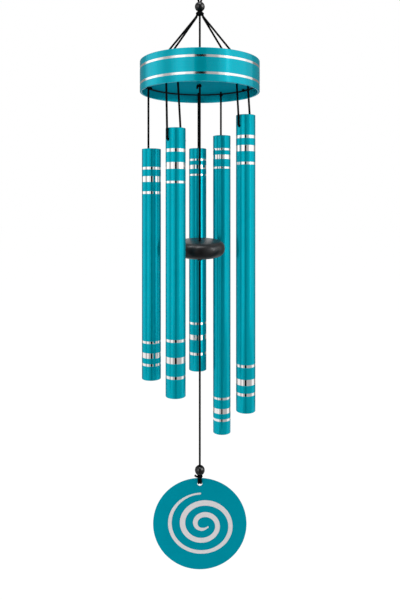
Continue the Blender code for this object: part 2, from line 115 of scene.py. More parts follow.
cell = add(braid, "ShaderNodeCombineXYZ", {"X": right.outputs[0], "Y": left.outputs[0], "Z": 0.5})
over = add(braid, "ShaderNodeTexChecker", {"Vector": cell.outputs[0], "Scale": 1.0})
crown = add(
    braid, "ShaderNodeMix",
    {"Factor": over.outputs["Fac"], "A": crowns[0].outputs[0], "B": crowns[1].outputs[0]}, data_type="FLOAT")
fibre = add(
    braid, "ShaderNodeTexNoise",
    {"Vector": place, "Scale": FIBRES_PER_MM, "Detail": 3.0, "Roughness": 0.7})
# The crowns' height, times the fibres, gives painted sheen on the crowns and painted shade in the hollows.
painted_sheen_and_shade = add(braid, "ShaderNodeMath", {0: crown.outputs[0], 1: fibre.outputs["Fac"]}, operation="MULTIPLY")
ramp = add(braid, "ShaderNodeValToRGB", {"Fac": painted_sheen_and_shade.outputs[0]})
ramp.color_ramp.elements[0].color = linear("#040405")
ramp.color_ramp.elements[1].color = linear("#101012")
dull = add(braid, "ShaderNodeMapRange", {"Value": fibre.outputs["Fac"], "To Min": 0.5, "To Max": 0.75})
relief = add(
    braid, "ShaderNodeBump", {"Height": crown.outputs[0], "Strength": 0.6, "Distance": 0.00025})
into(braid, braid_shader, Base_Color=ramp.outputs["Color"], Roughness=dull.outputs[0],
     Normal=relief.outputs["Normal"])


def as_piece(name, mesh, body, nodes):
    """An object at the origin that rides on a body, stands for CAD nodes and takes a finish."""
    piece = bpy.data.objects.new(name, mesh)
    bpy.context.scene.collection.objects.link(piece)
    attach(piece, body)
    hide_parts(*nodes)
    return piece


def made_mesh(obj):
    """The mesh that an object shows, with its modifiers. The object itself is removed."""
    bpy.context.view_layer.update()
    mesh = bpy.data.meshes.new_from_object(obj.evaluated_get(bpy.context.evaluated_depsgraph_get()))
    bpy.data.objects.remove(obj)
    return mesh


def lay_cord(name, points, body, *nodes, radius=CORD_R + CROWN_H):
    """A cord along points, with its radius taken at the crowns of the braid.

    Its UV map runs in millimetres along it and in turns round it.
    """
    curve = bpy.data.curves.new(name, "CURVE")
    curve.dimensions = "3D"
    curve.bevel_depth = radius
    curve.bevel_resolution = 4
    curve.use_fill_caps = True
    run = curve.splines.new("POLY")
    run.points.add(len(points) - 1)
    for point, at in zip(run.points, points):
        point.co = (*at, 1.0)
    line = bpy.data.objects.new(name + "_line", curve)
    bpy.context.scene.collection.objects.link(line)
    mesh = made_mesh(line)
    mesh.name = name
    reached = [0.0]
    for a, b in zip(points, points[1:]):
        reached.append(reached[-1] + 1000 * (Vector(b) - Vector(a)).length)
    for face_corner in mesh.uv_layers[0].data:
        face_corner.uv.x = reached[round(face_corner.uv.x * (len(points) - 1))]
    bm = bmesh.new()
    bm.from_mesh(mesh)
    bmesh.ops.remove_doubles(bm, verts=bm.verts, dist=SAME_PLACE)
    bm.to_mesh(mesh)
    bm.free()
    mesh.shade_smooth()
    mesh.set_sharp_from_angle(angle=math.radians(60))
    mesh.materials.clear()
    mesh.materials.append(braid)
    return as_piece(name, mesh, body, nodes)


one_side = []
for k in range(LOOP_STEPS + 1):
    t = k / LOOP_STEPS
    swell = LOOP_WIDTH / 2 * math.sin(math.pi * t ** 0.75)
    drop = (LOOP_DROP + CORD_R) * (1 - math.cos(math.pi / 2 * t))
    one_side.append((swell + STRAND_X * t, 0, CORD_R - drop))
one_side += [(STRAND_X, 0, LOOP_UPRIGHT_Z), (STRAND_X, 0, LOOP_END_Z)]
loop_route = [(-x, y, z) for x, y, z in one_side[:0:-1]] + one_side
lay_cord("loop_cord", loop_route, "hanger", "hanging_loop")

# Top bead
# A round bead of black acrylic, moulded and tumbled to a gloss, threaded on the loop's two strands.
# It sits on the gather knot.
BEAD_R = 0.0051
BEAD_BORE_R = 0.00225
MOUTH_W = 0.0002           # how much wider the bore is at its mouths
MOUTH_DEPTH = 0.0003
TOP_BEAD_Z = -0.0456


def ring_of(bm, points):
    """A closed ring through points: its vertices and its edges."""
    verts = [bm.verts.new(point) for point in points]
    return verts, [bm.edges.new(ends) for ends in zip(verts, verts[1:] + verts[:1])]


def spun(profile, steps):
    """A closed profile of radius and height, spun round the vertical, with its faces outwards."""
    bm = bmesh.new()
    verts, edges = ring_of(bm, [(r, 0, z) for r, z in profile])
    bmesh.ops.spin(bm, geom=verts + edges, cent=(0, 0, 0), axis=(0, 0, 1), dvec=(0, 0, 0),
                   angle=math.tau, steps=steps, use_merge=True, use_duplicate=False)
    bmesh.ops.remove_doubles(bm, verts=bm.verts, dist=SAME_PLACE)
    bmesh.ops.recalc_face_normals(bm, faces=bm.faces)
    return bm


def corner(r, z, radius, first, last, steps=4):
    """A rounded corner of a profile, from one angle to another, in degrees above the outward line."""
    angles = [math.radians(first + (last - first) * k / steps) for k in range(steps + 1)]
    return [(r + radius * math.cos(a), z + radius * math.sin(a)) for a in angles]


def to_mesh(name, bm, at, *materials, sharp=35):
    """A mesh from a bmesh moved to its place, smooth but for edges sharper than an angle in degrees."""
    bmesh.ops.translate(bm, verts=bm.verts, vec=at)
    mesh = bpy.data.meshes.new(name)
    bm.to_mesh(mesh)
    bm.free()
    for material in materials:
        mesh.materials.append(material)
    mesh.shade_smooth()
    mesh.set_sharp_from_angle(angle=math.radians(sharp))
    return mesh


# Tumbled acrylic is deep black and glossy, with a faint ripple and a finer haze from the tumbling.
RIPPLE_MM = 2.0
HAZE_MM = 0.714
acrylic, acrylic_shader = new_material("black_tumbled_acrylic", IOR=1.49, Specular_IOR_Level=0.22)
place = add(acrylic, "ShaderNodeTexCoord", {}).outputs["Object"]
ripple = add(acrylic, "ShaderNodeTexNoise", {"Vector": place, "Scale": 1000 / RIPPLE_MM, "Detail": 2.0})
haze = add(acrylic, "ShaderNodeTexNoise", {"Vector": place, "Scale": 1000 / HAZE_MM, "Detail": 4.0})
ramp = add(acrylic, "ShaderNodeValToRGB", {"Fac": haze.outputs["Fac"]})
ramp.color_ramp.elements[0].color = linear("#040404")
ramp.color_ramp.elements[1].color = linear("#0C0C0D")
dull = add(acrylic, "ShaderNodeMapRange", {"Value": haze.outputs["Fac"], "To Min": 0.1, "To Max": 0.2})
relief = add(
    acrylic, "ShaderNodeBump", {"Height": ripple.outputs["Fac"], "Strength": 0.25, "Distance": 0.0002})
into(acrylic, acrylic_shader, Base_Color=ramp.outputs["Color"], Roughness=dull.outputs[0],
     Normal=relief.outputs["Normal"])


def thread_bead(name, z, body, node):
    """A bead with a softly broken edge at both mouths of its bore."""
    mouth = math.degrees(math.asin((BEAD_BORE_R + MOUTH_W) / BEAD_R))
    profile = corner(0, 0, BEAD_R, 90 - mouth, mouth - 90, steps=32)
    end = profile[-1][1]
    profile += [(BEAD_BORE_R, end + MOUTH_DEPTH), (BEAD_BORE_R, -end - MOUTH_DEPTH)]
    mesh = to_mesh(name, spun(profile, steps=48), (0, 0, z), acrylic, sharp=40)
    as_piece(name, mesh, body, [node])


thread_bead("top_bead_ball", TOP_BEAD_Z, "hanger", "top_bead")

# Gather knot
# The loop's ends, the four suspension cords and the centre cord, all of one braid, are tied together in a
# lumpy knot under the top bead. The canopy turns on it.
Knot = namedtuple("Knot", "width height lobes bulge")
GATHER_Z = -0.0527         # its middle
GATHER_COILS = (Knot(0.0086, 0.0034, 5, 0.0007), Knot(0.0070, 0.0034, 4, 0.0006),
                Knot(0.0050, 0.0034, 3, 0.0006))
STEPS_A_LOBE = 28


def wound(knot, centre, axis=(0, 0, 1)):
    """The line of a knot drawn tight: the cord goes twice round and weaves over and under itself."""
    lie = Vector((0, 0, 1)).rotation_difference(Vector(axis))
    reach = knot.width / 2 - CORD_R
    rise = knot.height / 2 - CORD_R
    points = []
    steps = STEPS_A_LOBE * knot.lobes
    for k in range(steps + 1):
        turn = 2 * math.tau * k / steps
        weave = knot.lobes * turn / 2
        r = reach - knot.bulge + knot.bulge * math.cos(weave)
        at = Vector((r * math.cos(turn), r * math.sin(turn), rise * math.sin(weave)))
        points.append(Vector(centre) + lie @ at)
    return points


gather = []
for coil in GATHER_COILS:
    gather += wound(coil, (0, 0, GATHER_Z))
lay_cord("gather_knot_tie", gather, "swivel_knot", "gather_knot")

# Suspension cords
# Four taut lengths of the same braid spread from the gather knot to the rim of the plate, go down through
# it and end in knots that carry it. The centre cord goes straight down with them.
GATHER_LOW_Z = -0.0547
PLATE_TOP_Z = -0.1212
PLATE_LOW_Z = -0.1242
HANG_Z = -0.1245           # where knots bear under the plate
SUSPENSION_R = 0.0538
LEAVES_R = 0.0034          # from the axis to the cords under the gather knot
SUSPENSION_BEND = 0.0015
SUSPENSION_KNOT = Knot(0.0036, 0.0026, 3, 0.0004)
CORD_STEP = 0.004          # the longest straight run along a cord
BEND_STEPS = 6
LEAST_STEP = 0.00002
# Each cord's bearing where it goes through the plate, and where it leaves the gather knot.
SUSPENSION = {"left_front": (200.0, 202), "left_back": (162.5, 158), "right_back": (30.6, 22),
              "right_front": (352.0, 338)}


def round_axis(radius, degrees, z):
    """A point at a radius and bearing round the axis."""
    bearing = math.radians(degrees)
    return Vector((radius * math.cos(bearing), radius * math.sin(bearing), z))


def eased(turns, radius):
    """A route with its turns rounded, each by no more than half of the runs beside it."""
    turns = [Vector(turn) for turn in turns]
    route = [turns[0]]
    for before, turn, after in zip(turns, turns[1:], turns[2:]):
        first = turn + (before - turn).normalized() * min(radius, (before - turn).length / 2)
        last = turn + (after - turn).normalized() * min(radius, (after - turn).length / 2)
        for step in range(BEND_STEPS + 1):
            t = step / BEND_STEPS
            route.append(first * (1 - t) ** 2 + turn * 2 * t * (1 - t) + last * t ** 2)
    route.append(turns[-1])
    return [a for a, b in zip(route, route[1:]) if (a - b).length > LEAST_STEP] + [route[-1]]


def stepped(route, step):
    """The same route with points no further apart than a step."""
    points = [Vector(route[0])]
    for a, b in zip(route, route[1:]):
        count = max(1, math.ceil((Vector(b) - Vector(a)).length / step))
        points += [Vector(a).lerp(Vector(b), k / count) for k in range(1, count + 1)]
    return points


for side, (hole_at, leaves_at) in SUSPENSION.items():
    route = [round_axis(LEAVES_R, leaves_at, z) for z in (GATHER_LOW_Z, GATHER_LOW_Z - CORD_R)]
    route += [round_axis(SUSPENSION_R, hole_at, z)
              for z in (PLATE_TOP_Z + CORD_D, PLATE_TOP_Z + CORD_R, PLATE_LOW_Z)]
    route = stepped(eased(route, SUSPENSION_BEND), CORD_STEP)
    lay_cord("suspension_braid_" + side, route, "canopy", "suspension_cord_" + side)
    knot = wound(SUSPENSION_KNOT, round_axis(SUSPENSION_R, hole_at, HANG_Z - SUSPENSION_KNOT.height / 2))
    lay_cord("suspension_tie_" + side, knot, "canopy", "suspension_knot_" + side)
route = stepped([(0, 0, GATHER_LOW_Z), (0, 0, PLATE_LOW_Z)], CORD_STEP)
lay_cord("centre_braid", route, "canopy", "centre_cord")

# Hoop
# A rolled aluminium ring, brushed round, dyed teal in the anodising bath and sealed to a gloss. Two
# bands are then turned through the colour and polished. A small flange inside it sits on the plate.
HOOP_R = 0.0608
HOOP_INNER_R = 0.0586
HOOP_TOP_Z = -0.1026
HOOP_LOW_Z = -0.1336
HOOP_STEPS = 192
RIM_ROUND = 0.0006
BAND_W = 0.0024
BAND_DEPTH = 0.0001
BAND_INSET = 0.0076        # rim to the middle of a band
FLANGE_R = 0.0568
FLANGE_LOW_Z = -0.1209
FLANGE_T = 0.0016
FLANGE_ROUND = 0.0003
DYE_CLOUD_MM = 25          # size of the faint clouds in the dye


def teal_anodised(name, shades, grain_mm, metallic, dullness, gloss):
    """Dyed anodised aluminium: two shades of teal, and grain of a size in millimetres along X, Y and Z."""
    material, shader = new_material(
        name, Metallic=metallic, Specular_IOR_Level=0.02, Specular_Tint=linear("#1FA3B8"),
        Coat_Weight=gloss, Coat_Roughness=0.05)
    place = add(material, "ShaderNodeTexCoord", {}).outputs["Object"]
    stretch = add(material, "ShaderNodeMapping", {"Vector": place, "Scale": [1000 / mm for mm in grain_mm]})
    grain = add(
        material, "ShaderNodeTexNoise",
        {"Vector": stretch.outputs[0], "Scale": 1.0, "Detail": 3.0, "Roughness": 0.6})
    cloud = add(
        material, "ShaderNodeTexNoise", {"Vector": place, "Scale": 1000 / DYE_CLOUD_MM, "Detail": 2.0})
    tone = add(
        material, "ShaderNodeMath", {0: grain.outputs["Fac"], 1: cloud.outputs["Fac"]}, operation="ADD")
    ramp = add(material, "ShaderNodeValToRGB", {"Fac": tone.outputs[0]})
    ramp.color_ramp.elements[0].position = 0.6
    ramp.color_ramp.elements[0].color = linear(shades[0])
    ramp.color_ramp.elements[1].position = 1.4
    ramp.color_ramp.elements[1].color = linear(shades[1])
    dull = add(
        material, "ShaderNodeMapRange",
        {"Value": grain.outputs["Fac"], "To Min": dullness - 0.05, "To Max": dullness + 0.05})
    relief = add(
        material, "ShaderNodeBump", {"Height": grain.outputs["Fac"], "Strength": 0.04, "Distance": 0.0001})
    into(material, shader, Base_Color=ramp.outputs["Color"], Roughness=dull.outputs[0],
         Normal=relief.outputs["Normal"])
    return material


# Brushed round, it has long marks along the ring, drawn 0.9 mm apart up it so that they show.
teal_hoop = teal_anodised("teal_anodised_aluminium_brushed_round", ("#00A3B5", "#00ADBF"), (40, 40, 0.9),
                          metallic=0.46, dullness=0.24, gloss=0.25)
TURNING_MM = (33, 33, 0.25)


def bright_turned(name, least, most):
    """Turned aluminium: a mirror with fine lines along the band, of a least and a most roughness."""
    material, shader = new_material(name, Metallic=1.0)
    place = add(material, "ShaderNodeTexCoord", {}).outputs["Object"]
    stretch = add(material, "ShaderNodeMapping", {"Vector": place, "Scale": [1000 / mm for mm in TURNING_MM]})
    lines = add(material, "ShaderNodeTexNoise", {"Vector": stretch.outputs[0], "Scale": 1.0, "Detail": 2.0})
    ramp = add(material, "ShaderNodeValToRGB", {"Fac": lines.outputs["Fac"]})
    ramp.color_ramp.elements[0].color = linear("#DEDBDA")
    ramp.color_ramp.elements[1].color = linear("#F6F3F2")
    dull = add(
        material, "ShaderNodeMapRange", {"Value": lines.outputs["Fac"], "To Min": least, "To Max": most})
    relief = add(
        material, "ShaderNodeBump", {"Height": lines.outputs["Fac"], "Strength": 0.05, "Distance": 0.00005})
    into(material, shader, Base_Color=ramp.outputs["Color"], Roughness=dull.outputs[0],
         Normal=relief.outputs["Normal"])
    return material


# The hoop's bands are fine turned, and blur what they reflect a little.
fine_turned = bright_turned("fine_turned_aluminium", 0.12, 0.2)


def band(r, top, low, depth):
    """A shallow band let into an outer wall, with bevelled shoulders."""
    return [(r, top), (r - depth, top - depth), (r - depth, low + depth), (r, low)]


def polish_floors(bm, r, depth, spans):
    """Gives the second material to the floors of the bands."""
    for face in bm.faces:
        middle = face.calc_center_median()
        if abs(middle.xy.length - r + depth) < depth / 4 and abs(face.normal.z) < 0.1:
            if any(low < middle.z < top for top, low in spans):
                face.material_index = 1


profile = corner(HOOP_R - RIM_ROUND, HOOP_TOP_Z - RIM_ROUND, RIM_ROUND, 90, 0)
spans = []
for middle in (HOOP_TOP_Z - BAND_INSET, HOOP_LOW_Z + BAND_INSET):
    spans.append((middle + BAND_W / 2, middle - BAND_W / 2))
    profile += band(HOOP_R, *spans[-1], BAND_DEPTH)
profile += corner(HOOP_R - RIM_ROUND, HOOP_LOW_Z + RIM_ROUND, RIM_ROUND, 0, -90)
profile += corner(HOOP_INNER_R + RIM_ROUND, HOOP_LOW_Z + RIM_ROUND, RIM_ROUND, -90, -180)
profile += [(HOOP_INNER_R, FLANGE_LOW_Z), (FLANGE_R, FLANGE_LOW_Z)]
profile += corner(FLANGE_R + FLANGE_ROUND, FLANGE_LOW_Z + FLANGE_T - FLANGE_ROUND, FLANGE_ROUND, 180, 90)
profile += [(HOOP_INNER_R, FLANGE_LOW_Z + FLANGE_T)]
profile += corner(HOOP_INNER_R + RIM_ROUND, HOOP_TOP_Z - RIM_ROUND, RIM_ROUND, 180, 90)
bm = spun(profile, HOOP_STEPS)
polish_floors(bm, HOOP_R, BAND_DEPTH, spans)
mesh = to_mesh("hoop_ring", bm, (0, 0, 0), teal_hoop, fine_turned)
as_piece("hoop_ring", mesh, "canopy", ["canopy_hoop"])

# Plate
# A thin wooden disc inside the hoop, drilled for every cord and painted teal all over. It carries the hoop
# and the tubes.
PLATE_R = 0.0583
PLATE_EDGE = 0.0006
CORD_HOLE_R = 0.00125
CORD_DRILL_L = 0.01
TUBE_CIRCLE_R = 0.0495
# Each tube's bearing, and how far along X from its middle its strands go through the plate.
STRANDS = {"a": (191.6, [-0.0030]), "b": (242.5, [-0.0090, 0.0018]), "c": (92.7, [0.0008]),
           "d": (61.0, [-0.0010]), "e": (336.0, [-0.0090, 0.0018])}

# Brushed paint is matt and a little uneven, with soft strokes along X and a fine orange peel.
PEEL_MM = 1.1
STROKE_MM = (40, 2.5, 2.5)
paint, paint_shader = new_material("teal_painted_wood", Specular_IOR_Level=0.002)
place = add(paint, "ShaderNodeTexCoord", {}).outputs["Object"]
peel = add(paint, "ShaderNodeTexNoise", {"Vector": place, "Scale": 1000 / PEEL_MM, "Detail": 2.0})
stretch = add(paint, "ShaderNodeMapping", {"Vector": place, "Scale": [1000 / mm for mm in STROKE_MM]})
strokes = add(paint, "ShaderNodeTexNoise", {"Vector": stretch.outputs[0], "Scale": 1.0, "Detail": 4.0})
ramp = add(paint, "ShaderNodeValToRGB", {"Fac": strokes.outputs["Fac"]})
ramp.color_ramp.elements[0].position = 0.25
ramp.color_ramp.elements[0].color = linear("#007F93")
ramp.color_ramp.elements[1].position = 0.75
ramp.color_ramp.elements[1].color = linear("#008DA2")
dull = add(paint, "ShaderNodeMapRange", {"Value": strokes.outputs["Fac"], "To Min": 0.5, "To Max": 0.65})
relief = add(paint, "ShaderNodeBump", {"Height": peel.outputs["Fac"], "Strength": 0.15, "Distance": 0.0001})
into(paint, paint_shader, Base_Color=ramp.outputs["Color"], Roughness=dull.outputs[0],
     Normal=relief.outputs["Normal"])


def rod(bm, radius, length, at, direction, segments):
    """Adds a closed rod along a direction."""
    lie = Vector((0, 0, 1)).rotation_difference(Vector(direction)).to_matrix().to_4x4()
    bmesh.ops.create_cone(bm, cap_ends=True, segments=segments, radius1=radius, radius2=radius,
                          depth=length, matrix=Matrix.Translation(at) @ lie)


def cut(mesh, bm, material):
    """The mesh less a cutting shape, whose faces leave their material behind."""
    body = bpy.data.objects.new(mesh.name + "_body", mesh)
    tool_mesh = bpy.data.meshes.new(mesh.name + "_tool")
    bmesh.ops.recalc_face_normals(bm, faces=bm.faces)
    bm.to_mesh(tool_mesh)
    bm.free()
    tool_mesh.materials.append(material)
    tool = bpy.data.objects.new(tool_mesh.name, tool_mesh)
    for obj in (body, tool):
        bpy.context.scene.collection.objects.link(obj)
    boolean = body.modifiers.new("cut", "BOOLEAN")
    boolean.operation = "DIFFERENCE"
    boolean.solver = "EXACT"
    boolean.material_mode = "TRANSFER"
    boolean.object = tool
    finished = made_mesh(body)
    bpy.data.objects.remove(tool)
    finished.shade_smooth()
    finished.set_sharp_from_angle(angle=math.radians(35))
    return finished


profile = [(CORD_HOLE_R, PLATE_TOP_Z)]
profile += corner(PLATE_R - PLATE_EDGE, PLATE_TOP_Z - PLATE_EDGE, PLATE_EDGE, 90, 0)
profile += corner(PLATE_R - PLATE_EDGE, PLATE_LOW_Z + PLATE_EDGE, PLATE_EDGE, 0, -90)
profile += [(CORD_HOLE_R, PLATE_LOW_Z)]
mesh = to_mesh("plate_disc", spun(profile, HOOP_STEPS), (0, 0, 0), paint)
holes = [round_axis(SUSPENSION_R, hole_at, PLATE_LOW_Z) for hole_at, leaves_at in SUSPENSION.values()]
for bearing, strands in STRANDS.values():
    holes += [round_axis(TUBE_CIRCLE_R, bearing, PLATE_LOW_Z) + Vector((x, 0, 0)) for x in strands]
drill = bmesh.new()
for hole in holes:
    rod(drill, CORD_HOLE_R, CORD_DRILL_L, hole, (0, 0, 1), 24)
mesh = cut(mesh, drill, paint)
as_piece("plate_disc", mesh, "canopy", ["canopy_plate"])

# A thin dark fillet, smoothed hollow, fills the corner between the plate and the hoop: a dark piece put in as
# painted shade, for the shadow in the seam between them. It is matt, with small lumps 2 mm long.
SEAM_SHADE_W = 0.0014
LUMP_MM = 2.0
seam_shade, seam_shade_shader = new_material("black_sealant", Specular_IOR_Level=0.1)
place = add(seam_shade, "ShaderNodeTexCoord", {}).outputs["Object"]
lumps = add(seam_shade, "ShaderNodeTexNoise", {"Vector": place, "Scale": 1000 / LUMP_MM, "Detail": 3.0})
ramp = add(seam_shade, "ShaderNodeValToRGB", {"Fac": lumps.outputs["Fac"]})
# Dark teal of the painted shade in the seam.
ramp.color_ramp.elements[0].color = linear("#0A1315")
ramp.color_ramp.elements[1].color = linear("#1B282B")
dull = add(seam_shade, "ShaderNodeMapRange", {"Value": lumps.outputs["Fac"], "To Min": 0.5, "To Max": 0.8})
relief = add(seam_shade, "ShaderNodeBump", {"Height": lumps.outputs["Fac"], "Strength": 0.3, "Distance": 0.0002})
into(seam_shade, seam_shade_shader, Base_Color=ramp.outputs["Color"], Roughness=dull.outputs[0],
     Normal=relief.outputs["Normal"])
profile = [(HOOP_INNER_R, PLATE_LOW_Z)]
profile += corner(HOOP_INNER_R - SEAM_SHADE_W, PLATE_LOW_Z - SEAM_SHADE_W, SEAM_SHADE_W, 90, 0)
mesh = to_mesh("plate_seal", spun(profile, HOOP_STEPS), (0, 0, 0), seam_shade)
as_piece("plate_seal", mesh, "canopy", [])

# Tubes
# Five lengths of drawn aluminium tube, anodised teal inside and out. Two groups of three bands are turned
# through the colour and polished. Cross holes near the top take the cord or a pin.
TUBE_R = 0.0095
TUBE_INNER_R = 0.0082
TUBE_EDGE = 0.0005
TUBE_INNER_EDGE = 0.0002
TUBE_STEPS = 72
TUBE_DRILL_L = 0.03
HOLE_DROP = 0.0110
EYE_R = 0.0017             # holes for a cord
PIN_HOLE_R = 0.0013
TUBE_BAND_DEPTH = 0.00008
EYE_BEARING = math.radians(46)
ACROSS = Vector((-math.sin(EYE_BEARING), -math.cos(EYE_BEARING), 0))   # along the eyes of tubes b and e
# Each tube's top, length, and its bands in millimetres below its top.
TUBES = {
    "a": (-0.1916, 0.2297, ((18.2, 20.9), (27.4, 33.2), (42.4, 45.1),
                            (190.8, 193.3), (202.5, 207.9), (213.1, 215.7))),
    "b": (-0.1751, 0.2532, ((19.6, 22.8), (32.4, 38.8), (49.9, 52.2),
                            (198.2, 200.9), (214.8, 220.8), (232.5, 235.3))),
    "c": (-0.1857, 0.2430, ((11.5, 13.7), (18.1, 22.6), (28.0, 30.1),
                            (189.7, 192.2), (203.3, 208.9), (222.6, 225.5))),
    "d": (-0.1723, 0.3228, ((14.0, 16.3), (20.9, 25.7), (33.8, 36.1),
                            (282.9, 285.4), (294.8, 300.4), (306.0, 308.7))),
    "e": (-0.1593, 0.2909, ((20.1, 23.2), (29.9, 35.9), (46.2, 48.9),
                            (243.9, 246.6), (258.0, 264.0), (271.4, 274.3))),
}
# Drawn tube has faint marks along it, 0.8 mm apart round it.
teal_tube = teal_anodised("teal_anodised_aluminium_drawn", ("#009DAF", "#00A7B9"), (0.8, 0.8, 150),
                          metallic=0.5, dullness=0.2, gloss=0.06)
# The tubes' bands are polished after turning, to a clear mirror.
polished = bright_turned("polished_aluminium", 0.04, 0.09)
for name, (top, length, bands) in TUBES.items():
    place = round_axis(TUBE_CIRCLE_R, STRANDS[name][0], 0)
    low = top - length
    spans = [(top - high / 1000, top - deep / 1000) for high, deep in bands]
    profile = corner(TUBE_R - TUBE_EDGE, top - TUBE_EDGE, TUBE_EDGE, 90, 0, steps=3)
    for span in spans:
        profile += band(TUBE_R, *span, TUBE_BAND_DEPTH)
    profile += corner(TUBE_R - TUBE_EDGE, low + TUBE_EDGE, TUBE_EDGE, 0, -90, steps=3)
    profile += [(TUBE_INNER_R + TUBE_INNER_EDGE, low), (TUBE_INNER_R, low + TUBE_INNER_EDGE)]
    profile += [(TUBE_INNER_R, top - TUBE_INNER_EDGE), (TUBE_INNER_R + TUBE_INNER_EDGE, top)]
    bm = spun(profile, TUBE_STEPS)
    polish_floors(bm, TUBE_R, TUBE_BAND_DEPTH, spans)
    mesh = to_mesh("tube_" + name + "_pipe", bm, place, teal_tube, polished)
    drill = bmesh.new()
    at = place + Vector((0, 0, top - HOLE_DROP))
    if name in "be":
        rod(drill, EYE_R, TUBE_DRILL_L, at, ACROSS, 32)
    else:
        rod(drill, PIN_HOLE_R, TUBE_DRILL_L, at, (1, 0, 0), 32)
    mesh = cut(mesh, drill, teal_tube)
    as_piece("tube_" + name + "_pipe", mesh, "tube_" + name, ["chime_tube_" + name])

# Pins
# Short lengths of bright steel wire across tubes a, c and d, cropped and rounded at their ends. The cord is
# tied round each inside the tube.
PIN_R = 0.0010
PIN_L = 0.0184
PIN_ROUND = 0.0004
DRAWN_MM = (17, 0.2, 0.2)  # the marks that drawing leaves along the wire
steel, steel_shader = new_material("drawn_steel_wire", Metallic=1.0)
place = add(steel, "ShaderNodeTexCoord", {}).outputs["Object"]
stretch = add(steel, "ShaderNodeMapping", {"Vector": place, "Scale": [1000 / mm for mm in DRAWN_MM]})
marks = add(steel, "ShaderNodeTexNoise", {"Vector": stretch.outputs[0], "Scale": 1.0, "Detail": 3.0})
ramp = add(steel, "ShaderNodeValToRGB", {"Fac": marks.outputs["Fac"]})
ramp.color_ramp.elements[0].color = linear("#9C9A98")
ramp.color_ramp.elements[1].color = linear("#D2D0CE")
dull = add(steel, "ShaderNodeMapRange", {"Value": marks.outputs["Fac"], "To Min": 0.2, "To Max": 0.4})
into(steel, steel_shader, Base_Color=ramp.outputs["Color"], Roughness=dull.outputs[0])


def soften_ends(bm, radius):
    """Rounds the edges round the two flat ends of a bar or disc."""
    ends = [e for e in bm.edges if any(len(f.verts) > 4 for f in e.link_faces)]
    bmesh.ops.bevel(bm, geom=ends, offset=radius, offset_type="OFFSET", segments=3, profile=0.5,
                    affect="EDGES", material=-1)


for name in "acd":
    at = round_axis(TUBE_CIRCLE_R, STRANDS[name][0], TUBES[name][0] - HOLE_DROP)
    bm = bmesh.new()
    rod(bm, PIN_R, PIN_L, at, (1, 0, 0), 24)
    soften_ends(bm, PIN_ROUND)
    mesh = to_mesh("pin_" + name, bm, (0, 0, 0), steel, sharp=50)
    as_piece("pin_" + name, mesh, "tube_" + name, ["tube_pin_" + name])

